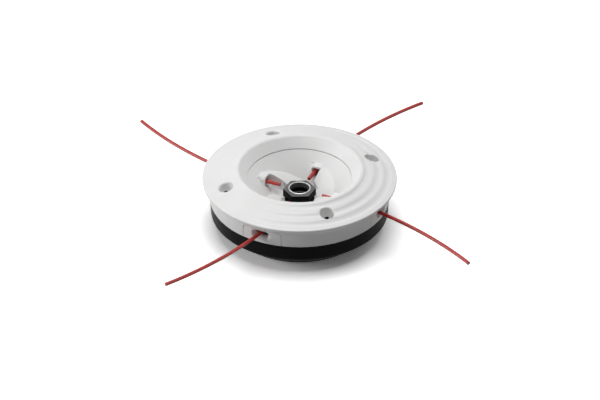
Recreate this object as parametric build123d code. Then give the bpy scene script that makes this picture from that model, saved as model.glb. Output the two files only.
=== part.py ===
from build123d import *
import os
from math import atan2, cos, degrees, exp, pi, radians, sin, sqrt, tan

os.makedirs("parts", exist_ok=True)

# Fixed line trimmer head. A white cover and hub over a black cup, with four lengths of line
# held by toothed cams. Z is the spindle axis, up towards the gearbox. The cup stands on Z = 0.
# Line ports lie on +X, +Y, -X and -Y, and the cover's screws halfway between them.

# Outer forms
PORT_COUNT = 4
RIM_OVERHANG = 5.0        # flange beyond the skirt
RIM_Z = 37.3
RIM_EDGE = 1.9            # thickness of the flange at its edge
COVE_DROP = 5.4           # from the rim's top edge down to the skirt
SKIRT_R = 58.0
BASE_H = 21.8             # the skirt meets the cup here
BAND_DRAFT = 0.4          # the cup's upright band is this much narrower at its foot
BAND_Z = 11.7
BAND_ROUND = 2.0
FOOT_R = 43.75
FOOT_RING = 8.0           # width of the flat ring that the cup stands on
FOOT_ROUND = 1.2
DISH_DEPTH = 1.0
WALL = 2.6

# Bowl, a cone shared by the cover above the seam and the hub below it
CHAMBER_W = 24.4          # from the seam out to the skirt
SEAM_Z = 36.75
SEAM_GAP = 0.5
CONE_SLOPE = 0.81         # gain in radius for each mm of height
LIP_Z = 43.9
LIP_ROUND = 2.0
LAND_SAG = 0.35           # the land between lip and rim sags this much at its middle
FLOOR_Z = 20.0

# Wave rings, deepest at +X and run out on both sides
WAVE_PITCH = 6.2
WAVE_COUNT = 3
WAVE_DEPTH = 0.95         # first trough, each further one is deeper
WAVE_GAIN = 0.12
WAVE_CREST_DEPTH = 0.08
WAVE_END_ANGLE = 112.0    # from +X, where the outermost trough runs out

# Pinwheel floor of the bowl
CREST_Z = 30.4            # top of each ramp, beside a port
RAMP_START = 10.0         # degrees clockwise from the port
RAMP_END = 78.0
RAMP_SECTIONS = 4
RAMP_LEAN = 3             # power by which a ramp's inner edge falls sooner than its outer one
SOCKET_R = 13.8           # room for a spanner round the nut
SOCKET_Z = 22.6
HUB_SKIN = 3.6            # thickness of the bowl's floor
HUB_BOSS_INSET = 6.6      # boss under the floor, from the seam inwards

# Line windows of the bowl, Y measured on the +X port
WINDOW_Y = (-4.4, 1.7)
WINDOW_Z = (22.9, 29.4)
WINDOW_ROUND = 1.4
HOOD_INSET = 10.0         # face of the hood, from the seam inwards
HOOD_EDGE = 1.3           # hood beyond each side of the window
HOOD_TOP = 1.6            # hood above the window
HOOD_WALL = 1.8           # front wall, with an open pocket behind it
HOOD_ROUND = 0.7

# Tray of the hub, which carries the cams
TRAY_Z = 22.6
TRAY_THICK = 2.7
SLIP = 0.3                # gap between pieces that drop into each other
TOUCH = 0.15              # gap where a piece is guided closely

# Trimmer line
LINE_D = 2.4
LINE_Z = 26.8
LINE_ENDS = [(16.3, -0.2), (14.2, -0.2), (13.9, -0.2), (16.5, -0.2)]    # inner end on each port
LINE_ROUTE = [(29.5, 0.0), (46.9, 0.0), (70.7, -5.2), (95.6, -13.5), (119.4, -24.3), (130.7, -31.0)]
ARC_SHARE = 0.45          # share of the shorter run that an arc takes up

# Grip cams, on the +X port
PIVOT_INSET = 13.4        # from the inside of the wall
PIVOT_Y = -9.0
CAM_HUB_R = 4.6
CAM_THICK = 6.8
CAM_GAP = 0.2             # teeth to line at rest
CAM_PRESSURE = 15.0       # degrees, pressure angle of the toothed spiral
CAM_TEETH = 9
CAM_SPAN = (65.0, 140.0)  # degrees, toothed arc about the pivot
TOOTH_DEPTH = 0.6
PIN_R = 2.0
PIN_RUN = 0.05            # radial running clearance of the cam on its pin
PIN_FIT = 0.02
PIN_SEAT = 2.2            # depth of the pin in the tray
PIN_TOP = 36.0
PIN_BOSS_WALL = 2.2
ANVIL_SPAN = (-14.0, 5.0) # along the line, from the cam's axis
ANVIL_THICK = 3.0
ANVIL_TOP = 31.0

# Torsion springs
WIRE_R = 0.4
COIL_R = 3.0
COIL_PITCH = 0.9
COIL_TURNS = 2.25
COIL_START = 159.0        # degrees about the pivot
CAM_LEG = 6.0
POST_LEG = 9.0
PEG_R = 0.8
PEG_H = 1.6
POST_R = 1.4
LEG_END = 1.2             # length of leg beyond the peg or post

# Port inserts
PANEL_W = 26.8
PANEL_GAP = 0.3           # shows as a dark outline round the panel
PANEL_TOP = 31.3
PANEL_ROUND = 2.5
PANEL_LAP = 1.3           # rear flange beyond the notch
PANEL_DEPTH = 2.0         # thickness of the rear flange
PORT_Y = -0.6
PORT_Z = 27.2
PORT_THROAT = (8.4, 4.4)
PORT_MOUTH = (14.0, 6.8)
FLARE_SECTIONS = 4
FLARE_POWER = 3           # the mouth opens late, like a bell

# Cover screws
SCREW_INSET = 5.4         # screw axis from the inside of the wall
WELL_R = 4.5
WELL_ROUND = 1.0
WELL_WALL = 2.3
SCREW_R = 1.5
SCREW_FIT = 0.05
HOLE_R = 1.7
HEAD_R = 2.65
HEAD_H = 2.1
HEAD_ROUND = 0.4
HEAD_SEAT_Z = 34.5
WELL_END_Z = 31.0         # the cover's boss ends on the hub's boss
SCREW_END_Z = 9.6
SOCKET_LOBE_R = 1.45
LOBE_VALLEY = 0.72        # share of the lobe radius
LOBE_DEPTH = 1.3
BOSS_R = 4.8

# Spindle nut, M12 x 1.5 left hand
NUT_FLATS = 19.0
NUT_TOP = 28.2
NUT_TURN = 27.8           # degrees, the middle of one flat from +X
NUT_FIT = 0.1
NUT_CORNER_ROUND = 1.5
NUT_TOP_ROUND = 1.2
NUT_FLANGE_R = 13.0
NUT_FLANGE_H = 3.5
THREAD_R = 5.2
PILOT_R = 6.35
PILOT_DEPTH = 3.5
COLLAR_R = 7.35           # low round collar at the mouth of the bore
COLLAR_H = 0.35
COLLAR_ROUND = 0.3

# Cup
CUP_FLOOR = 3.2
LEDGE = 1.2               # width of the step that carries the tray
WELL_SHAFT_R = 7.0        # well under the nut for the end of the spindle
CENTRE_BOSS_R = 15.0
RIB_COUNT = 8
RIB_THICK = 2.2

# Sizes worked out from those above
CONE_WALL = WALL * sqrt(1 + CONE_SLOPE ** 2)
RIM_R = SKIRT_R + RIM_OVERHANG
INNER_R = SKIRT_R - WALL
BAND_R = SKIRT_R - BAND_DRAFT
SEAM_R = SKIRT_R - CHAMBER_W
LIP_R = SEAM_R + CONE_SLOPE * (LIP_Z - SEAM_Z)
LAND_MID_R = (LIP_R + RIM_R) / 2
LAND_MID_Z = (LIP_Z + RIM_Z) / 2 - LAND_SAG
WAVE_R = LIP_R + LIP_ROUND                     # first crest
HUB_BOSS_R = SEAM_R - HUB_BOSS_INSET
HOOD_X = SEAM_R - HOOD_INSET
PIVOT_X = INNER_R - PIVOT_INSET
SCREW_RING_R = INNER_R - SCREW_INSET
TRAY_R = INNER_R - SLIP
TRAY_BOTTOM = TRAY_Z - TRAY_THICK
HUB_BOTTOM = FLOOR_Z - HUB_SKIN
NUT_BOTTOM = HUB_BOTTOM - NUT_FLANGE_H
LINE_R = LINE_D / 2
CAM_Z = TRAY_Z + SLIP
CAM_TOP = CAM_Z + CAM_THICK
COIL_RISE = COIL_PITCH / (2 * pi * COIL_R)     # climb of the wire for each mm along it
COIL_Z = CAM_TOP + TOUCH + WIRE_R + CAM_LEG * COIL_RISE
COIL_END_Z = COIL_Z + COIL_TURNS * COIL_PITCH
SPRING_TOP = COIL_END_Z + POST_LEG * COIL_RISE + WIRE_R
HIGH = RIM_R              # taller than any piece, for cuts that run out


def cone_r(z):
    """Radius of the bowl at a height."""
    return SEAM_R + CONE_SLOPE * (z - SEAM_Z)


def land_z(r):
    """Height of the cover's land: a slope from lip to rim with a shallow sag."""
    share = (r - LIP_R) / (RIM_R - LIP_R)
    return LIP_Z + (RIM_Z - LIP_Z) * share - 4 * LAND_SAG * share * (1 - share)


def turned(outline):
    """Solid of revolution about Z from a face drawn in radius and height."""
    return revolve(Plane.XZ * outline, Axis.Z)


def polygon(*points):
    return make_face(Polyline(*points, close=True))


def rounded(outline, point, radius):
    """The outline with the corner nearest to a point rounded."""
    corner = outline.vertices().sort_by_distance(Vertex(point[0], point[1], 0))[0]
    return fillet(corner, radius)


def port_plane(x):
    """Plane across the +X port, drawn with Y to the right and Z up."""
    return Plane(origin=(x, 0, 0), x_dir=(0, 1, 0), z_dir=(1, 0, 0))


def post(x, y, radius, bottom, top):
    return Pos(x, y, bottom) * Cylinder(radius, top - bottom, align=(Align.CENTER, Align.CENTER, Align.MIN))


def around(shape, first=0.0):
    """The shape at each port, or turned from there by an angle."""
    return [Rot(0, 0, first + 360 / PORT_COUNT * i) * shape for i in range(PORT_COUNT)]


def on_screws(radius, bottom, top):
    """Round posts on the four screw axes."""
    return around(post(SCREW_RING_R, 0, radius, bottom, top), 180 / PORT_COUNT)


def on_pivots(radius, bottom, top):
    """Round posts on the four cam axes."""
    return around(post(PIVOT_X, PIVOT_Y, radius, bottom, top))


def arch(width, bottom, top, corner):
    """Outline with square feet and rounded top corners."""
    outline = Pos(0, bottom) * Rectangle(width, top - bottom, align=(Align.CENTER, Align.MIN))
    return fillet(outline.vertices().group_by(Axis.Y)[-1], corner)


def wave_cutter():
    """Wavy ring above the land, tilted so that its troughs run out away from +X."""
    half = WAVE_PITCH / 2
    points = []
    for i in range(2 * WAVE_COUNT + 1):
        r = WAVE_R + i * half
        trough = WAVE_DEPTH + WAVE_GAIN * (i // 2)
        points.append((r, land_z(r) - (trough if i % 2 else WAVE_CREST_DEPTH)))
    wave = Spline(*points)
    close = Polyline(points[-1], (points[-1][0], HIGH), (points[0][0], HIGH), points[0])
    ring = turned(make_face(wave + close))
    last_trough_r = WAVE_R + (2 * WAVE_COUNT - 1) * half
    last_depth = WAVE_DEPTH + WAVE_GAIN * (WAVE_COUNT - 1)
    tilt_sine = last_depth / (last_trough_r * (1 - cos(radians(WAVE_END_ANGLE))))
    tilt = degrees(atan2(tilt_sine, sqrt(1 - tilt_sine ** 2)))
    lift = last_trough_r * tilt_sine
    return Pos(0, 0, LAND_MID_Z + lift) * Rot(0, tilt, 0) * Pos(0, 0, -LAND_MID_Z) * ring


def make_top_cover():
    lip = (LIP_R, LIP_Z)
    rim = (RIM_R, RIM_Z)
    rim_under = (RIM_R - RIM_EDGE / 6, RIM_Z - RIM_EDGE)
    root = (SKIRT_R, RIM_Z - COVE_DROP)
    land = ThreePointArc(lip, (LAND_MID_R, LAND_MID_Z), rim)
    rest = Polyline(rim, rim_under, root, (SKIRT_R, BASE_H), (SEAM_R, BASE_H), (SEAM_R, SEAM_Z), lip)
    outline = make_face(land + rest)
    outline = rounded(outline, lip, LIP_ROUND)
    outline = rounded(outline, rim, RIM_EDGE / 3)
    outline = rounded(outline, rim_under, RIM_EDGE / 3)
    outline = rounded(outline, root, WALL)
    shell = turned(outline) - on_screws(WELL_R, HEAD_SEAT_Z, HIGH)
    mouths = [edge for edge in shell.edges() if edge.geom_type not in (GeomType.LINE, GeomType.CIRCLE)]
    shell = fillet(mouths, WELL_ROUND) - wave_cutter()
    back_r = SEAM_R + CONE_WALL
    lip_under_z = LIP_Z - WALL - CONE_SLOPE * SLIP
    lip_under_r = back_r + CONE_SLOPE * (lip_under_z - SEAM_Z)
    hollow = turned(polygon(
        (SEAM_R - WALL, BASE_H - WALL), (INNER_R, BASE_H - WALL),
        (INNER_R, land_z(INNER_R) - WALL - SLIP), (lip_under_r, lip_under_z),
        (back_r, SEAM_Z), (SEAM_R - WALL, SEAM_Z)))
    hollow -= on_screws(WELL_R + WELL_WALL, WELL_END_Z, HIGH)
    hollow -= on_pivots(PIN_R + PIN_BOSS_WALL, SPRING_TOP + SLIP, HIGH)
    cover = shell - hollow
    cover -= on_screws(HOLE_R, WELL_END_Z - WALL, HIGH)
    cover -= on_pivots(PIN_R + PIN_FIT, CAM_TOP, PIN_TOP + TOUCH)
    notch = arch(PANEL_W, BASE_H - WALL, PANEL_TOP, PANEL_ROUND)
    notch = extrude(port_plane(INNER_R - 2 * WALL) * notch, 4 * WALL)
    return cover - around(notch)


def ramp():
    """One spiral ramp of the floor, falling clockwise from the port at +X."""
    sections = []
    for i in range(RAMP_SECTIONS):
        share = i / (RAMP_SECTIONS - 1)
        angle = RAMP_START + (RAMP_END - RAMP_START) * share
        top = CREST_Z + (FLOOR_Z - CREST_Z) * share
        plane = Plane.XZ.rotated((0, 0, -angle))
        low = HUB_BOTTOM + HUB_SKIN / 2
        inner_top = FLOOR_Z + (top - FLOOR_Z) * (1 - share) ** RAMP_LEAN
        inner_r = SOCKET_R - WALL
        outer_r = SOCKET_R + HUB_BOSS_R
        outline = polygon((inner_r, low), (outer_r, low), (outer_r, top), (HOOD_X, top), (inner_r, inner_top))
        sections.append(plane * outline)
    return loft(sections)


def hood():
    """Raised frame of one line window."""
    width = WINDOW_Y[1] - WINDOW_Y[0] + 2 * HOOD_EDGE
    middle = (WINDOW_Y[0] + WINDOW_Y[1]) / 2
    low = HUB_BOTTOM + HUB_SKIN / 2
    outline = Pos(middle, 0) * arch(width, low, WINDOW_Z[1] + HOOD_TOP, WINDOW_ROUND + HOOD_EDGE)
    frame = extrude(port_plane(HOOD_X) * outline, HUB_BOSS_R)
    face = frame.faces().sort_by(Axis.X)[0]
    return fillet(face.edges().sort_by(Axis.Z)[1:], HOOD_ROUND)


def make_hub_body():
    top_z = SEAM_Z - SEAM_GAP
    body = turned(polygon(
        (0, FLOOR_Z), (cone_r(FLOOR_Z), FLOOR_Z), (cone_r(top_z), top_z), (cone_r(top_z) + CONE_WALL, top_z),
        (cone_r(TRAY_Z) + CONE_WALL, TRAY_Z), (TRAY_R, TRAY_Z), (TRAY_R, TRAY_BOTTOM),
        (HUB_BOSS_R, TRAY_BOTTOM), (HUB_BOSS_R, HUB_BOTTOM), (0, HUB_BOTTOM)))
    bowl_room = turned(polygon(
        (0, HUB_BOTTOM), (cone_r(HUB_BOTTOM) + WALL / 2, HUB_BOTTOM),
        (cone_r(top_z) + WALL / 2, top_z), (0, top_z)))
    window_w = WINDOW_Y[1] - WINDOW_Y[0]
    window_h = WINDOW_Z[1] - WINDOW_Z[0]
    channel = Pos(0, WINDOW_Y[0], FLOOR_Z) * Box(HOOD_X, window_w, HIGH, align=Align.MIN)
    ramps = ramp() - channel
    ramps -= post(0, 0, SOCKET_R, SOCKET_Z, HIGH)
    for piece in around(ramps) + around(hood()):
        body += piece & bowl_room
    window = RectangleRounded(window_w, window_h, WINDOW_ROUND)
    window = Pos(sum(WINDOW_Y) / 2, sum(WINDOW_Z) / 2) * window
    body -= around(extrude(port_plane(HOOD_X - WALL) * window, cone_r(WINDOW_Z[1]) + 2 * CONE_WALL - HOOD_X))
    anvil_y = LINE_R + CAM_GAP
    pocket_x = HOOD_X + HOOD_WALL
    pocket = Pos(pocket_x, WINDOW_Y[0], HUB_BOTTOM) * Box(
        cone_r(WINDOW_Z[1]) + CONE_WALL - pocket_x, anvil_y - WINDOW_Y[0], WINDOW_Z[1] - HUB_BOTTOM,
        align=Align.MIN)
    body -= around(pocket)
    anvil_low = TRAY_Z - TRAY_THICK / 2
    anvil = Pos(PIVOT_X + ANVIL_SPAN[0], anvil_y, anvil_low) * Box(
        ANVIL_SPAN[1] - ANVIL_SPAN[0], ANVIL_THICK, ANVIL_TOP - anvil_low, align=Align.MIN)
    body += around(anvil)
    body += on_screws(BOSS_R, TRAY_Z, WELL_END_Z)
    body += around(post(*spring_post(), POST_R, TRAY_Z, SPRING_TOP))
    body -= on_screws(HOLE_R, TRAY_BOTTOM, WELL_END_Z)
    body -= on_pivots(PIN_R + PIN_FIT, TRAY_Z - PIN_SEAT, TRAY_Z)
    nut_hole = extrude(nut_outline(NUT_FIT), SOCKET_Z - HUB_BOTTOM)
    return body - Pos(0, 0, HUB_BOTTOM) * nut_hole


def make_base_cup():
    outline = polygon(
        (0, DISH_DEPTH), (FOOT_R - FOOT_RING - DISH_DEPTH, DISH_DEPTH), (FOOT_R - FOOT_RING, 0), (FOOT_R, 0),
        (BAND_R, BAND_Z), (SKIRT_R, BASE_H), (0, BASE_H))
    outline = rounded(outline, (BAND_R, BAND_Z), BAND_ROUND)
    body = turned(rounded(outline, (FOOT_R, 0), FOOT_ROUND))
    wall_r = INNER_R - LEDGE
    floor_r = FOOT_R - (BAND_R - wall_r) + CUP_FLOOR * (BAND_R - FOOT_R) / BAND_Z
    hollow = turned(polygon(
        (0, CUP_FLOOR), (floor_r, CUP_FLOOR), (wall_r, BAND_Z), (wall_r, TRAY_BOTTOM), (INNER_R, TRAY_BOTTOM),
        (INNER_R, HIGH), (0, HIGH)))
    hollow -= on_screws(BOSS_R, 0, TRAY_BOTTOM)
    rib = Pos(0, -RIB_THICK / 2, 0) * Box(SKIRT_R, RIB_THICK, TRAY_BOTTOM, align=Align.MIN)
    rib -= post(0, 0, CENTRE_BOSS_R - WALL / 2, 0, HIGH)
    rib -= post(0, 0, HUB_BOSS_R + SLIP, HUB_BOTTOM - SLIP, HIGH)
    hollow -= [Rot(0, 0, 360 / RIB_COUNT * i) * rib for i in range(RIB_COUNT)]
    hollow -= post(0, 0, CENTRE_BOSS_R, 0, NUT_BOTTOM) - post(0, 0, WELL_SHAFT_R, 0, NUT_BOTTOM)
    cup = body - hollow
    return cup - on_screws(SCREW_R + SCREW_FIT, SCREW_END_Z - SLIP, TRAY_BOTTOM)


def nut_outline(clearance=0.0):
    return Rot(0, 0, NUT_TURN) * RegularPolygon(NUT_FLATS / 2 + clearance, 6, major_radius=False, rotation=30)


def make_hub_nut():
    outline = nut_outline()
    outline = fillet(outline.vertices(), NUT_CORNER_ROUND)
    hexagon = Pos(0, 0, NUT_BOTTOM) * extrude(outline, NUT_TOP - NUT_BOTTOM)
    hexagon = fillet(hexagon.edges().group_by(Axis.Z)[-1], NUT_TOP_ROUND)
    collar = arch(COLLAR_R - PILOT_R, NUT_TOP, NUT_TOP + COLLAR_H, COLLAR_ROUND)
    nut = hexagon + turned(Pos((COLLAR_R + PILOT_R) / 2, 0) * collar)
    nut += post(0, 0, NUT_FLANGE_R, NUT_BOTTOM, HUB_BOTTOM)
    nut -= post(0, 0, THREAD_R, NUT_BOTTOM, NUT_TOP)
    return nut - post(0, 0, PILOT_R, NUT_TOP - PILOT_DEPTH, NUT_TOP)


def make_port_insert():
    front_r = INNER_R - TOUCH
    face = arch(PANEL_W - 2 * PANEL_GAP, BASE_H, PANEL_TOP - PANEL_GAP, PANEL_ROUND)
    face = extrude(port_plane(0) * face, HIGH) & post(0, 0, SKIRT_R, 0, HIGH)
    face -= post(0, 0, front_r - TOUCH, 0, HIGH)
    flange = arch(PANEL_W + 2 * PANEL_LAP, TRAY_Z, PANEL_TOP + PANEL_LAP, PANEL_ROUND + PANEL_LAP)
    flange = extrude(port_plane(0) * flange, HIGH) & post(0, 0, front_r, 0, HIGH)
    flange -= post(0, 0, front_r - PANEL_DEPTH, 0, HIGH)
    throat_r = front_r - 2 * PANEL_DEPTH
    sections = []
    for i in range(FLARE_SECTIONS):
        share = i / (FLARE_SECTIONS - 1)
        size = [a + (b - a) * share ** FLARE_POWER for a, b in zip(PORT_THROAT, PORT_MOUTH)]
        plane = port_plane(throat_r + (SKIRT_R - throat_r) * share)
        sections.append(plane * Pos(PORT_Y, PORT_Z) * SlotOverall(*size))
    return face + flange - loft(sections)


def make_grip_cam():
    """Toothed cam: a spiral of teeth that bites harder as the line drags it outwards."""
    slope = tan(radians(CAM_PRESSURE))
    touch_angle = 90 + CAM_PRESSURE
    touch_r = (-PIVOT_Y - LINE_R - CAM_GAP) / cos(radians(CAM_PRESSURE))
    points = [(0, 0)]
    for i in range(2 * CAM_TEETH + 1):
        angle = CAM_SPAN[0] + (CAM_SPAN[1] - CAM_SPAN[0]) * i / (2 * CAM_TEETH)
        r = touch_r * exp(slope * radians(angle - touch_angle)) - (0 if i % 2 else TOOTH_DEPTH)
        points.append((r * cos(radians(angle)), r * sin(radians(angle))))
    outline = polygon(*points) + Circle(CAM_HUB_R)
    cam = Pos(PIVOT_X, PIVOT_Y, CAM_Z) * extrude(outline, CAM_THICK)
    cam += post(*cam_peg(), PEG_R, CAM_TOP, CAM_TOP + PEG_H)
    return cam - post(PIVOT_X, PIVOT_Y, PIN_R + PIN_RUN, CAM_Z, CAM_TOP)


def leg(angle, length, way):
    """Direction in plan and end of a spring leg, tangent to the coil at an angle."""
    a = radians(angle)
    along = Vector(-sin(a), cos(a)) * way
    return along, Vector(PIVOT_X + COIL_R * cos(a), PIVOT_Y + COIL_R * sin(a)) + along * length


def cam_peg():
    """Place of the peg on the cam, clockwise of the spring's lower leg."""
    along, end = leg(COIL_START, CAM_LEG - LEG_END, -1)
    centre = end + Vector(along.Y, -along.X) * (PEG_R + WIRE_R + TOUCH)
    return centre.X, centre.Y


def spring_post():
    """Place of the post on the tray, on the other side of the spring's upper leg."""
    along, end = leg(COIL_START + 360 * COIL_TURNS, POST_LEG - LEG_END, 1)
    centre = end + Vector(-along.Y, along.X) * (POST_R + WIRE_R + TOUCH)
    return centre.X, centre.Y


def make_cam_spring():
    """Torsion spring: a coil round the pin with a straight leg at each end."""
    helix = Helix(COIL_PITCH, COIL_TURNS * COIL_PITCH, COIL_R)
    helix = Pos(PIVOT_X, PIVOT_Y, COIL_Z) * Rot(0, 0, COIL_START) * helix
    to_peg = Line(helix @ 0 - helix % 0 * CAM_LEG, helix @ 0)
    to_post = Line(helix @ 1, helix @ 1 + helix % 1 * POST_LEG)
    path = Wire([to_peg, helix, to_post])
    return sweep(Plane(origin=path @ 0, z_dir=path % 0) * Circle(WIRE_R), path=path)


def make_cover_screw():
    screw = post(SCREW_RING_R, 0, SCREW_R, SCREW_END_Z, HEAD_SEAT_Z)
    head = post(SCREW_RING_R, 0, HEAD_R, HEAD_SEAT_Z, HEAD_SEAT_Z + HEAD_H)
    head = fillet(head.edges().group_by(Axis.Z)[-1], HEAD_ROUND)
    lobes = []
    for i in range(12):
        r = SOCKET_LOBE_R * (LOBE_VALLEY if i % 2 else 1)
        lobes.append((r * cos(i * pi / 6), r * sin(i * pi / 6)))
    socket = Pos(SCREW_RING_R, 0, HEAD_SEAT_Z + HEAD_H - LOBE_DEPTH) * extrude(polygon(*lobes), LOBE_DEPTH)
    return screw + head - socket


def make_trimmer_line(inner_end):
    """Line along straight runs joined by the largest tangent arcs that they allow."""
    points = [Vector(x, y, LINE_Z) for x, y in [inner_end, *LINE_ROUTE]]
    radii = []
    for before, here, after in zip(points, points[1:], points[2:]):
        turn = (here - before).get_angle(after - here)
        shorter = min((here - before).length, (after - here).length)
        radii.append(ARC_SHARE * shorter / tan(radians(turn / 2)))
    path = FilletPolyline(*points, radius=radii)
    line = sweep(Plane(origin=path @ 0, z_dir=path % 0) * Circle(LINE_R), path=path)
    print("line radii", [round(r, 1) for r in radii], "length", round(path.length, 2),
          "volume share", round(line.volume / (pi * LINE_R ** 2 * path.length), 5))
    return line


def save(name, shape):
    shape.label = name
    export_step(shape, f"parts/{name}.step")


save("top_cover", make_top_cover())
save("hub_body", make_hub_body())
save("base_cup", make_base_cup())
save("hub_nut", make_hub_nut())
save("cover_screws", Compound(children=around(make_cover_screw(), 180 / PORT_COUNT)))
cam_pin = post(PIVOT_X, PIVOT_Y, PIN_R, TRAY_Z - PIN_SEAT, PIN_TOP)
for name, shape in (("port_insert", make_port_insert()), ("grip_cam", make_grip_cam()),
                    ("cam_pin", cam_pin), ("cam_spring", make_cam_spring())):
    for i, copy in enumerate(around(shape)):
        save(f"{name}_{i + 1}", copy)
for i, inner_end in enumerate(LINE_ENDS):
    save(f"trimmer_line_{i + 1}", around(make_trimmer_line(inner_end))[i])
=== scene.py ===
import math

import bmesh
import bpy
from mathutils import Matrix, Vector


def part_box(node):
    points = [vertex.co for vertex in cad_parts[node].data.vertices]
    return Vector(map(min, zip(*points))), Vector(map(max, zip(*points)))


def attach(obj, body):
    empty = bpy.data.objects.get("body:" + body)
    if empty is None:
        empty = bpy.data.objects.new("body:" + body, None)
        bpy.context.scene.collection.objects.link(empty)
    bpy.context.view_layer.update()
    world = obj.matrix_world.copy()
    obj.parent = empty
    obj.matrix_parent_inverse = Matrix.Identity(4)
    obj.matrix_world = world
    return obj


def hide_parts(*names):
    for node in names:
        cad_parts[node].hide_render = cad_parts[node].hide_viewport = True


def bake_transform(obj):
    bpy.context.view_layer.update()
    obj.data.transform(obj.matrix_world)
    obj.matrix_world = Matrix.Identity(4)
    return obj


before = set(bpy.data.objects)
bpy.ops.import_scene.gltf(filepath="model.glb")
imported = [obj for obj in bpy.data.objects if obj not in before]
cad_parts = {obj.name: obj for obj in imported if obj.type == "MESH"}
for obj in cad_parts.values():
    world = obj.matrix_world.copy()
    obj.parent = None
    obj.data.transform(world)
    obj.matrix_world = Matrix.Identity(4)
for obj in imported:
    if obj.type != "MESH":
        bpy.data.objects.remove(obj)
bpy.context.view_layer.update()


# The base cup is the black lower half of the head, moulded in glass-filled nylon.
# Its skin keeps the fine grain of the mould, with a gloss that wanders a little.
# It carries everything else and rubs along the ground in use.
cup_tones = ((0.0075, 0.0075, 0.008), (0.0105, 0.0105, 0.011))
cup_roughness = (0.34, 0.50)
cup_shine = 0.02
noise_middle = (0.35, 0.65)
grain_detail = 3
grain_strength = 0.35
skin_drift_scale = 55
skin_drift_detail = 3
skin_grain_scale = 2600
skin_grain_depth = 0.00003
skin_edge_round = 0.00025


def object_noise(tree, scale, detail):
    """Noise on the piece's own coordinates, with scale as features to the metre."""
    place = tree.nodes.new("ShaderNodeTexCoord")
    noise = tree.nodes.new("ShaderNodeTexNoise")
    noise.inputs["Scale"].default_value = scale
    noise.inputs["Detail"].default_value = detail
    tree.links.new(place.outputs["Object"], noise.inputs["Vector"])
    return noise.outputs[0]


def stretched(tree, value, old, new):
    """A value stretched from one range to another."""
    stretch = tree.nodes.new("ShaderNodeMapRange")
    stretch.inputs["From Min"].default_value, stretch.inputs["From Max"].default_value = old
    stretch.inputs["To Min"].default_value, stretch.inputs["To Max"].default_value = new
    tree.links.new(value, stretch.inputs["Value"])
    return stretch.outputs["Result"]


def two_tone(tree, noise, tones):
    """A colour that drifts between two tones."""
    ramp = tree.nodes.new("ShaderNodeValToRGB")
    for stop, position, tone in zip(ramp.color_ramp.elements, noise_middle, tones):
        stop.position = position
        stop.color = (*tone, 1)
    tree.links.new(noise, ramp.inputs["Fac"])
    return ramp.outputs["Color"]


def grain(tree, scale, depth, edge_round):
    """Bump of a fine surface grain, over edges that look rounded by a small radius."""
    rounding = tree.nodes.new("ShaderNodeBevel")
    rounding.inputs["Radius"].default_value = edge_round
    bump = tree.nodes.new("ShaderNodeBump")
    bump.inputs["Strength"].default_value = grain_strength
    bump.inputs["Distance"].default_value = depth
    tree.links.new(object_noise(tree, scale, grain_detail), bump.inputs["Height"])
    tree.links.new(rounding.outputs["Normal"], bump.inputs["Normal"])
    return bump.outputs["Normal"]


def dull_skin(name, tones, roughness, shine):
    """A moulded or oxidised skin: two close tones, a gloss that wanders and a fine grain."""
    material = bpy.data.materials.new(name)
    material.use_nodes = True
    tree = material.node_tree
    shader = tree.nodes["Principled BSDF"]
    drift = object_noise(tree, skin_drift_scale, skin_drift_detail)
    tree.links.new(two_tone(tree, drift, tones), shader.inputs["Base Color"])
    tree.links.new(stretched(tree, drift, noise_middle, roughness), shader.inputs["Roughness"])
    tree.links.new(grain(tree, skin_grain_scale, skin_grain_depth, skin_edge_round), shader.inputs["Normal"])
    shader.inputs["Specular IOR Level"].default_value = shine
    return material


def dress(node, material):
    """Gives a CAD piece its finish."""
    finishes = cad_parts[node].data.materials
    finishes.clear()
    finishes.append(material)


black_nylon = dull_skin("black_nylon", cup_tones, cup_roughness, cup_shine)
dress("base_cup", black_nylon)


# The spindle nut is turned from hexagon bar with a flange that the hub traps, then blackened.
# Its faces that turn up or down and its lead are painted a lighter grey, a painted sheen for the light that
# the end face reflects, and the low collar round its mouth is turned bright. The bore has a plain lead, a
# relief groove and the left-hand M12 x 1.5 thread of the gearbox spindle.
nut_low, collar_top = (corner.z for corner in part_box("hub_nut"))
nut_flats = 0.019
held_turn = math.radians(27.8)
held_height = 0.0097
spanner_turn = math.radians(-2.2)
neck_radius = 0.0093
neck_height = 0.0003
nut_corner_round = 0.0015
nut_edge_round = 0.0012
flange_radius = 0.013
flange_height = 0.0035
collar_radius = 0.00735
collar_height = 0.00035
collar_round = 0.0003
lead_radius = 0.00635
lead_depth = 0.0035
relief_radius = 0.0061
relief_depth = 0.0064
thread_minor = 0.0052
thread_major = 0.0060
thread_pitch = 0.0015
thread_profile = ((0.0, 0), (0.25, 0), (0.5625, 1), (0.6875, 1))
nut_top = collar_top - collar_height
flange_top = nut_low + flange_height
held_top = nut_low + held_height
neck_top = held_top + neck_height
lead_end = nut_top - lead_depth
thread_end = nut_top - relief_depth
spare_pitches = 3
thread_steps = 72
round_steps = 5
flat_steps = 12
level_slack = 0.00001
radius_slack = 0.00005
thread_weld = 0.000002
cut_slack = 0.0000005
weld = 0.000001
sheen_painted_slope = 0.5
sharp_angle = math.radians(25)
blackened_part, sheen_painted_part, bright_part = 0, 1, 2


def grow(mesh, edges, part):
    """Extrudes open edges, gives the new faces a finish, and returns the new points and open edges."""
    grown = bmesh.ops.extrude_edge_only(mesh, edges=edges)["geom"]
    for face in (g for g in grown if isinstance(g, bmesh.types.BMFace)):
        face.material_index = part
    verts = [g for g in grown if isinstance(g, bmesh.types.BMVert)]
    return verts, [g for g in grown if isinstance(g, bmesh.types.BMEdge) and g.is_boundary]


def ring_at(mesh, edges, radius, height, part=blackened_part):
    """Grows a loop of edges to a circle of that radius and height, and returns its open edges."""
    verts, open_edges = grow(mesh, edges, part)
    for vert in verts:
        flat = vert.co.xy.normalized() * radius
        vert.co = (flat.x, flat.y, height)
    return open_edges


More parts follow.
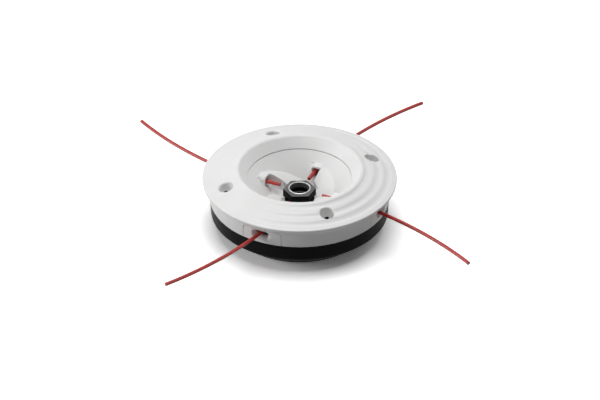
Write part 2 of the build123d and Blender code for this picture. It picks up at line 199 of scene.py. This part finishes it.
def loop_at(mesh, height, low, high):
    """Open edges at a height whose radius lies in a range."""
    found = []
    for edge in mesh.edges:
        middle = (edge.verts[0].co + edge.verts[1].co) / 2
        level = all(abs(vert.co.z - height) < level_slack for vert in edge.verts)
        if edge.is_boundary and level and low < middle.xy.length < high:
            found.append(edge)
    return found


def hexagon_bar(turn, low, high, edge_round):
    """A length of hexagon bar with open ends and rounded corners, its top edge rounded, with a lighter
    painted sheen where the rounding faces up.
    """
    bar = bmesh.new()
    bmesh.ops.create_circle(bar, cap_ends=True, segments=6, radius=nut_flats / math.sqrt(3))
    bmesh.ops.rotate(bar, verts=bar.verts, matrix=Matrix.Rotation(turn, 3, "Z"))
    bmesh.ops.translate(bar, verts=bar.verts, vec=(0, 0, low))
    bmesh.ops.bevel(bar, geom=bar.verts[:], affect="VERTICES", offset=nut_corner_round / math.sqrt(3),
                    offset_type="OFFSET", segments=round_steps, profile=0.5, material=-1)
    flats = [edge for edge in bar.edges if edge.calc_length() > nut_corner_round]
    bmesh.ops.subdivide_edges(bar, edges=flats, cuts=flat_steps - 1)
    raised = bmesh.ops.extrude_face_region(bar, geom=bar.faces[:])["geom"]
    top_verts = [g for g in raised if isinstance(g, bmesh.types.BMVert)]
    bmesh.ops.translate(bar, verts=top_verts, vec=(0, 0, high - low))
    if edge_round:
        top_edges = [g for g in raised if isinstance(g, bmesh.types.BMEdge)]
        bmesh.ops.bevel(bar, geom=top_edges, affect="EDGES", offset=edge_round, offset_type="OFFSET",
                        segments=round_steps, profile=0.5, material=-1)
    bar.normal_update()
    for face in bar.faces:
        # Faces turned up or down get the lighter grey of a painted sheen.
        face.material_index = sheen_painted_part if abs(face.normal.z) > sheen_painted_slope else blackened_part
    ends = [face for face in bar.faces if len(face.verts) > 4]
    bmesh.ops.delete(bar, geom=ends, context="FACES_ONLY")
    return bar


def join(mesh, extra):
    """Adds the faces of one bmesh to another."""
    carrier = bpy.data.meshes.new("carrier")
    extra.to_mesh(carrier)
    extra.free()
    mesh.from_mesh(carrier)
    bpy.data.meshes.remove(carrier)


def nut_collar(mesh, edges):
    """The bright collar round the mouth, rounded at both edges, down to the foot of the plain lead."""
    edges = ring_at(mesh, edges, collar_radius, nut_top, sheen_painted_part)
    for corner, first in ((collar_radius - collar_round, 0), (lead_radius + collar_round, 90)):
        for step in range(round_steps + 1):
            angle = math.radians(first + 90 * step / round_steps)
            height = collar_top - collar_round + collar_round * math.sin(angle)
            edges = ring_at(mesh, edges, corner + collar_round * math.cos(angle), height, bright_part)
    return ring_at(mesh, edges, lead_radius, lead_end, sheen_painted_part)


def nut_thread():
    """The left-hand thread: a V profile of many pitches, screwed once round and cut to the bore's ends."""
    thread = bmesh.new()
    profile = []
    for i in range(math.ceil((thread_end - nut_low) / thread_pitch) + spare_pitches):
        foot = nut_low + (i - 1) * thread_pitch
        for rise, out in thread_profile:
            radius = thread_minor + (thread_major - thread_minor) * out
            profile.append(thread.verts.new((radius, 0, foot + rise * thread_pitch)))
    strips = [thread.edges.new(pair) for pair in zip(profile, profile[1:])]
    bmesh.ops.spin(thread, geom=profile + strips, cent=(0, 0, 0), axis=(0, 0, 1), angle=2 * math.pi,
                   dvec=(0, 0, -thread_pitch / thread_steps), steps=thread_steps)
    bmesh.ops.remove_doubles(thread, verts=thread.verts, dist=thread_weld)
    for height, way in ((nut_low, -1), (thread_end, 1)):
        everything = thread.verts[:] + thread.edges[:] + thread.faces[:]
        bmesh.ops.bisect_plane(thread, geom=everything, dist=cut_slack, plane_co=(0, 0, height),
                               plane_no=(0, 0, way), clear_outer=True)
    return thread


nut = hexagon_bar(held_turn, flange_top, held_top, 0)
join(nut, hexagon_bar(spanner_turn, neck_top, nut_top, nut_edge_round))
neck_ends = []
for height in (held_top, neck_top):
    neck_ends += ring_at(nut, loop_at(nut, height, 0, nut_flats), neck_radius, height)
bmesh.ops.bridge_loops(nut, edges=neck_ends)
lead_foot = nut_collar(nut, loop_at(nut, nut_top, 0, nut_flats))
relief_top = ring_at(nut, lead_foot, relief_radius, lead_end)
ring_at(nut, relief_top, relief_radius, thread_end)
flange_rim = ring_at(nut, loop_at(nut, flange_top, 0, nut_flats), flange_radius, flange_top)
ring_at(nut, flange_rim, flange_radius, nut_low)
join(nut, nut_thread())
for height, outer in ((nut_low, flange_radius), (thread_end, relief_radius)):
    inner_loop = loop_at(nut, height, 0, thread_major + radius_slack)
    outer_loop = loop_at(nut, height, outer - radius_slack, outer + radius_slack)
    for face in bmesh.ops.bridge_loops(nut, edges=inner_loop + outer_loop)["faces"]:
        face.material_index = sheen_painted_part
bmesh.ops.remove_doubles(nut, verts=nut.verts, dist=weld)
bmesh.ops.recalc_face_normals(nut, faces=nut.faces)
nut_mesh = bpy.data.meshes.new("spindle_nut")
nut.to_mesh(nut_mesh)
nut.free()
nut_mesh.shade_smooth()
nut_mesh.set_sharp_from_angle(angle=sharp_angle)
spindle_nut = bpy.data.objects.new("spindle_nut", nut_mesh)
bpy.context.scene.collection.objects.link(spindle_nut)

oxide_tones = ((0.0030, 0.0030, 0.0032), (0.0060, 0.0060, 0.0062))
oxide_roughness = (0.38, 0.52)
oxide_shine = 0.04
# The lighter grey below is a painted sheen for the light on the nut's end face.
painted_sheen_tones = ((0.100, 0.101, 0.103), (0.160, 0.161, 0.163))
painted_sheen_roughness = (0.36, 0.50)
painted_sheen_shine = 0.20
bright_tones = ((0.42, 0.42, 0.41), (0.68, 0.68, 0.67))
bright_roughness = (0.22, 0.32)
bright_grain_scale = 5200
bright_grain_depth = 0.000006
steel_drift_scale = 260
steel_drift_detail = 4
steel_edge_round = 0.00012


def worked_steel(name, tones, roughness, grain_scale, grain_depth):
    """Bare or plated steel with a drifting tone and the fine marks of its making."""
    material = bpy.data.materials.new(name)
    material.use_nodes = True
    tree = material.node_tree
    shader = tree.nodes["Principled BSDF"]
    shader.inputs["Metallic"].default_value = 1.0
    drift = object_noise(tree, steel_drift_scale, steel_drift_detail)
    tree.links.new(two_tone(tree, drift, tones), shader.inputs["Base Color"])
    tree.links.new(stretched(tree, drift, noise_middle, roughness), shader.inputs["Roughness"])
    tree.links.new(grain(tree, grain_scale, grain_depth, steel_edge_round), shader.inputs["Normal"])
    return material


black_oxide = dull_skin("black_oxide", oxide_tones, oxide_roughness, oxide_shine)
painted_sheen_oxide = dull_skin("painted_sheen_oxide", painted_sheen_tones, painted_sheen_roughness, painted_sheen_shine)
bright_cut = worked_steel("bright_cut_steel", bright_tones, bright_roughness,
                          bright_grain_scale, bright_grain_depth)
for finish in (black_oxide, painted_sheen_oxide, bright_cut):
    nut_mesh.materials.append(finish)
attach(spindle_nut, "head")
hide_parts("hub_nut")


# The hub is one white moulding: the bowl with its pinwheel floor and hooded windows, and the
# tray under the cover that carries the cams. It drops onto the cup's ledge, over the nut.
hub_tones = ((0.775, 0.775, 0.772), (0.800, 0.800, 0.797))
hub_roughness = (0.42, 0.54)
hub_shine = 0.36
white_nylon = dull_skin("white_nylon", hub_tones, hub_roughness, hub_shine)
dress("hub_body", white_nylon)


# The cam pins are short lengths of ground steel rod, pressed into the tray.
# Their tops are held by bosses under the cover.
ports = (1, 2, 3, 4)
pin_tones = ((0.58, 0.58, 0.59), (0.66, 0.66, 0.67))
pin_roughness = (0.20, 0.28)
pin_grain_scale = 6000
pin_grain_depth = 0.000006
ground_steel = worked_steel("ground_steel", pin_tones, pin_roughness, pin_grain_scale, pin_grain_depth)
for i in ports:
    dress(f"cam_pin_{i}", ground_steel)


# The grip cams are sintered steel sectors with teeth on a spiral edge.
# Each turns on its pin, and its teeth bite harder as the line drags them outwards.
cam_tones = ((0.36, 0.36, 0.37), (0.46, 0.46, 0.47))
cam_roughness = (0.42, 0.56)
cam_grain_scale = 1800
cam_grain_depth = 0.00004
sintered_steel = worked_steel("sintered_steel", cam_tones, cam_roughness, cam_grain_scale, cam_grain_depth)
for i in ports:
    dress(f"grip_cam_{i}", sintered_steel)


# The torsion springs are wound from drawn wire round the cam pins. The lower leg pushes the peg
# of its cam and the upper one leans on a post of the tray, so a coil twists as its cam turns.
wire_tones = ((0.42, 0.42, 0.44), (0.52, 0.52, 0.54))
wire_roughness = (0.24, 0.34)
wire_grain_scale = 4200
wire_grain_depth = 0.00001
drawn_wire = worked_steel("drawn_wire", wire_tones, wire_roughness, wire_grain_scale, wire_grain_depth)
for i in ports:
    coil = bmesh.new()
    coil.from_mesh(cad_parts[f"cam_spring_{i}"].data)
    bmesh.ops.remove_doubles(coil, verts=coil.verts, dist=weld)
    coil_mesh = bpy.data.meshes.new(f"torsion_spring_{i}")
    coil.to_mesh(coil_mesh)
    coil.free()
    coil_mesh.materials.append(drawn_wire)
    spring = bpy.data.objects.new(f"torsion_spring_{i}", coil_mesh)
    bpy.context.scene.collection.objects.link(spring)
    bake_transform(spring)
    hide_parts(f"cam_spring_{i}")


# The port inserts are the four white panels that the line runs out through.
# Each drops into a notch of the cover's skirt and is trapped by its rear flange.
for i in ports:
    dress(f"port_insert_{i}", white_nylon)


# The top cover is the white flanged ring with its wave rings and screw wells.
# It is moulded in the same nylon as the hub and closes the head from above.
dress("top_cover", white_nylon)


# The cover screws are zinc-plated thread-forming screws with a six-lobe socket.
# They stand deep in the cover's wells and draw cover, hub and cup together.
# The middle of each head is painted black, a painted shade standing in for the depth of its socket.
zinc_tones = ((0.90, 0.90, 0.89), (0.96, 0.96, 0.95))
zinc_roughness = (0.20, 0.32)
zinc_grain_scale = 3800
zinc_grain_depth = 0.00001
# The black is painted shade for the depth of each socket.
painted_socket_shade = (0.004, 0.004, 0.004)
socket_shade_edge = (0.00140, 0.00150)
screw_head_radius = 0.00265
screw_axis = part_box("cover_screws")[1].x - screw_head_radius


def paint_socket_shade(material):
    """Paints shade into the middle of each screw head, by its distance from the nearest of the four axes."""
    tree = material.node_tree
    plated = tree.nodes["Principled BSDF"].inputs["Base Color"]
    place = tree.nodes.new("ShaderNodeTexCoord")
    fold = tree.nodes.new("ShaderNodeVectorMath")
    fold.operation = "ABSOLUTE"
    flatten = tree.nodes.new("ShaderNodeVectorMath")
    flatten.operation = "MULTIPLY"
    flatten.inputs[1].default_value = (1, 1, 0)
    reach = tree.nodes.new("ShaderNodeVectorMath")
    reach.operation = "DISTANCE"
    reach.inputs[1].default_value = (screw_axis, screw_axis, 0)
    colour = tree.nodes.new("ShaderNodeMix")
    colour.data_type = "RGBA"
    colour.inputs["A"].default_value = (*painted_socket_shade, 1)
    tree.links.new(place.outputs["Object"], fold.inputs[0])
    tree.links.new(fold.outputs["Vector"], flatten.inputs[0])
    tree.links.new(flatten.outputs["Vector"], reach.inputs[0])
    tree.links.new(stretched(tree, reach.outputs["Value"], socket_shade_edge, (0, 1)), colour.inputs["Factor"])
    tree.links.new(plated.links[0].from_socket, colour.inputs["B"])
    tree.links.new(colour.outputs["Result"], plated)


zinc_plate = worked_steel("zinc_plate", zinc_tones, zinc_roughness, zinc_grain_scale, zinc_grain_depth)
paint_socket_shade(zinc_plate)
dress("cover_screws", zinc_plate)


# The trimmer lines are four short lengths of round red nylon line, pushed in by hand.
# Each runs straight from its window past the cam, leaves through the port and
# sweeps back in the bow that it keeps from the reel.
line_diameter = 0.0024
line_height = 0.0268
line_ends = [(0.0163, -0.0002), (0.0142, -0.0002), (0.0139, -0.0002), (0.0165, -0.0002)]
line_lengths = [0.1204, 0.1225, 0.1228, 0.1202]
line_route = [(0.0295, 0.0), (0.0469, 0.0), (0.0707, -0.0052),
              (0.0956, -0.0135), (0.1194, -0.0243), (0.1307, -0.0310)]
line_run_steps = 12
line_round_steps = 6
line_tones = ((0.37, 0.018, 0.011), (0.47, 0.027, 0.016))
line_roughness = (0.26, 0.38)
line_drift_scale = 140
line_drift_detail = 3
line_grain_scale = 1500
line_grain_depth = 0.00003
line_edge_round = 0.0001
line_depth_share = 0.10
line_depth_radius = (1.0, 0.12, 0.10)
line_depth_scale = 0.001


def red_nylon_line():
    """Extruded nylon: clear red that glows a little, with a smooth skin."""
    material = bpy.data.materials.new("red_nylon_line")
    material.use_nodes = True
    tree = material.node_tree
    shader = tree.nodes["Principled BSDF"]
    drift = object_noise(tree, line_drift_scale, line_drift_detail)
    tree.links.new(two_tone(tree, drift, line_tones), shader.inputs["Base Color"])
    tree.links.new(stretched(tree, drift, noise_middle, line_roughness), shader.inputs["Roughness"])
    tree.links.new(grain(tree, line_grain_scale, line_grain_depth, line_edge_round), shader.inputs["Normal"])
    shader.inputs["Subsurface Weight"].default_value = line_depth_share
    shader.inputs["Subsurface Radius"].default_value = line_depth_radius
    shader.inputs["Subsurface Scale"].default_value = line_depth_scale
    return material


line_finish = red_nylon_line()
for i, inner_end, length in zip(ports, line_ends, line_lengths):
    port = Matrix.Rotation(math.pi / 2 * (i - 1), 3, "Z")
    route = [inner_end, *line_route]
    curve = bpy.data.curves.new(f"line_{i}", "CURVE")
    curve.dimensions = "3D"
    curve.resolution_u = line_run_steps
    curve.bevel_depth = line_diameter / 2
    curve.bevel_resolution = line_round_steps
    curve.use_fill_caps = True
    spline = curve.splines.new("NURBS")
    spline.points.add(len(route) - 1)
    for point, (x, y) in zip(spline.points, route):
        point.co = (*(port @ Vector((x, y, line_height))), 1)
    spline.order_u = 3
    spline.use_endpoint_u = True
    curve.materials.append(line_finish)
    line = bpy.data.objects.new(f"line_{i}", curve)
    bpy.context.scene.collection.objects.link(line)
    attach(line, "head")
    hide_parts(f"trimmer_line_{i}")


# The studio is a pale floor under large soft lamps, seen from above by a long lens.
# Places are given as seen by the camera: to the right, towards it and up.
# Each lamp has its place and the width of its disc in metres, and its power in watts.
view_turn = math.radians(294.76)
view_rise = math.radians(33.85)
view_distance = 2.001
view_aim = Vector((0.00029, 0.00013, 0.01882))
view_lens = 185.17
view_sensor = 36
view_reach = 50
towards = Vector((math.cos(view_turn), math.sin(view_turn), 0))
rightwards = Vector((-math.sin(view_turn), math.cos(view_turn), 0))
upwards = Vector((0, 0, 1))
lamps = {
    "overhead_softbox": ((0.0, 0.0, 1.2), 1.0, 9.8),
    "left_low_softbox": ((-1.15, 0.1, 0.35), 0.6, 6.7),
    "right_back_fill": ((0.75, -0.75, 0.75), 0.8, 1.7),
}
white = (1, 1, 1, 1)
room_light = 0.16
room_white = 1.0
floor_size = 4.0
floor_squares = 8
floor_white = (1.6, 1.6, 1.6)
floor_glow = (0.05, 1.0)
floor_glow_reach = (0.16, 0.80)
floor_dim = (0.30, 0.30, 0.30)


def look_at(thing, target):
    """Turns a camera or lamp to a point."""
    thing.rotation_mode = "QUATERNION"
    thing.rotation_quaternion = (target - thing.location).to_track_quat("-Z", "Y")


def seen_directly(tree):
    """1 for camera, glossy and transmission rays, 0 for the diffuse light of the room."""
    path = tree.nodes.new("ShaderNodeLightPath")
    total = path.outputs["Is Camera Ray"]
    for kind in ("Is Glossy Ray", "Is Transmission Ray"):
        add = tree.nodes.new("ShaderNodeMath")
        add.operation = "ADD"
        add.use_clamp = True
        tree.links.new(total, add.inputs[0])
        tree.links.new(path.outputs[kind], add.inputs[1])
        total = add.outputs["Value"]
    return total


def lit_and_seen(tree, lit, seen, output):
    """Gives diffuse light one shader and rays that see the surface another."""
    mix = tree.nodes.new("ShaderNodeMixShader")
    tree.links.new(seen_directly(tree), mix.inputs["Fac"])
    tree.links.new(lit, mix.inputs[1])
    tree.links.new(seen, mix.inputs[2])
    tree.links.new(mix.outputs["Shader"], tree.nodes[output].inputs["Surface"])


camera = bpy.data.objects.new("camera", bpy.data.cameras.new("camera"))
camera.data.sensor_width = view_sensor
camera.data.lens = view_lens
camera.data.clip_end = view_reach
camera.location = view_aim + view_distance * (towards * math.cos(view_rise) + upwards * math.sin(view_rise))
look_at(camera, view_aim)
bpy.context.scene.collection.objects.link(camera)
bpy.context.scene.camera = camera

for name, (place, size, power) in lamps.items():
    lamp = bpy.data.objects.new(name, bpy.data.lights.new(name, "AREA"))
    lamp.data.shape = "DISK"
    lamp.data.size = size
    lamp.data.energy = power
    lamp.location = rightwards * place[0] + towards * place[1] + upwards * place[2]
    look_at(lamp, Vector((0, 0, 0)))
    bpy.context.scene.collection.objects.link(lamp)

world = bpy.data.worlds.new("room")
world.use_nodes = True
bpy.context.scene.world = world
room = world.node_tree
room_back = room.nodes["Background"]
room_back.inputs["Color"].default_value = white
room_back.inputs["Strength"].default_value = room_light
white_back = room.nodes.new("ShaderNodeBackground")
white_back.inputs["Color"].default_value = white
white_back.inputs["Strength"].default_value = room_white
lit_and_seen(room, room_back.outputs["Background"], white_back.outputs["Background"], "World Output")

paper = bmesh.new()
bmesh.ops.create_grid(paper, x_segments=floor_squares, y_segments=floor_squares, size=floor_size / 2)
floor_mesh = bpy.data.meshes.new("floor")
paper.to_mesh(floor_mesh)
paper.free()
floor = bpy.data.objects.new("floor", floor_mesh)
bpy.context.scene.collection.objects.link(floor)
floor_paper = bpy.data.materials.new("floor_paper")
floor_paper.use_nodes = True
tree = floor_paper.node_tree
tree.nodes.remove(tree.nodes["Principled BSDF"])
dim = tree.nodes.new("ShaderNodeBsdfDiffuse")
dim.inputs["Color"].default_value = (*floor_dim, 1)
bright = tree.nodes.new("ShaderNodeBsdfDiffuse")
bright.inputs["Color"].default_value = (*floor_white, 1)
place = tree.nodes.new("ShaderNodeTexCoord")
away = tree.nodes.new("ShaderNodeVectorMath")
away.operation = "LENGTH"
glow = tree.nodes.new("ShaderNodeEmission")
seen = tree.nodes.new("ShaderNodeAddShader")
tree.links.new(place.outputs["Object"], away.inputs[0])
tree.links.new(stretched(tree, away.outputs["Value"], floor_glow_reach, floor_glow), glow.inputs["Strength"])
tree.links.new(bright.outputs["BSDF"], seen.inputs[0])
tree.links.new(glow.outputs["Emission"], seen.inputs[1])
lit_and_seen(tree, dim.outputs["BSDF"], seen.outputs["Shader"], "Material Output")
floor_mesh.materials.append(floor_paper)

bpy.context.scene.view_settings.view_transform = "Standard"
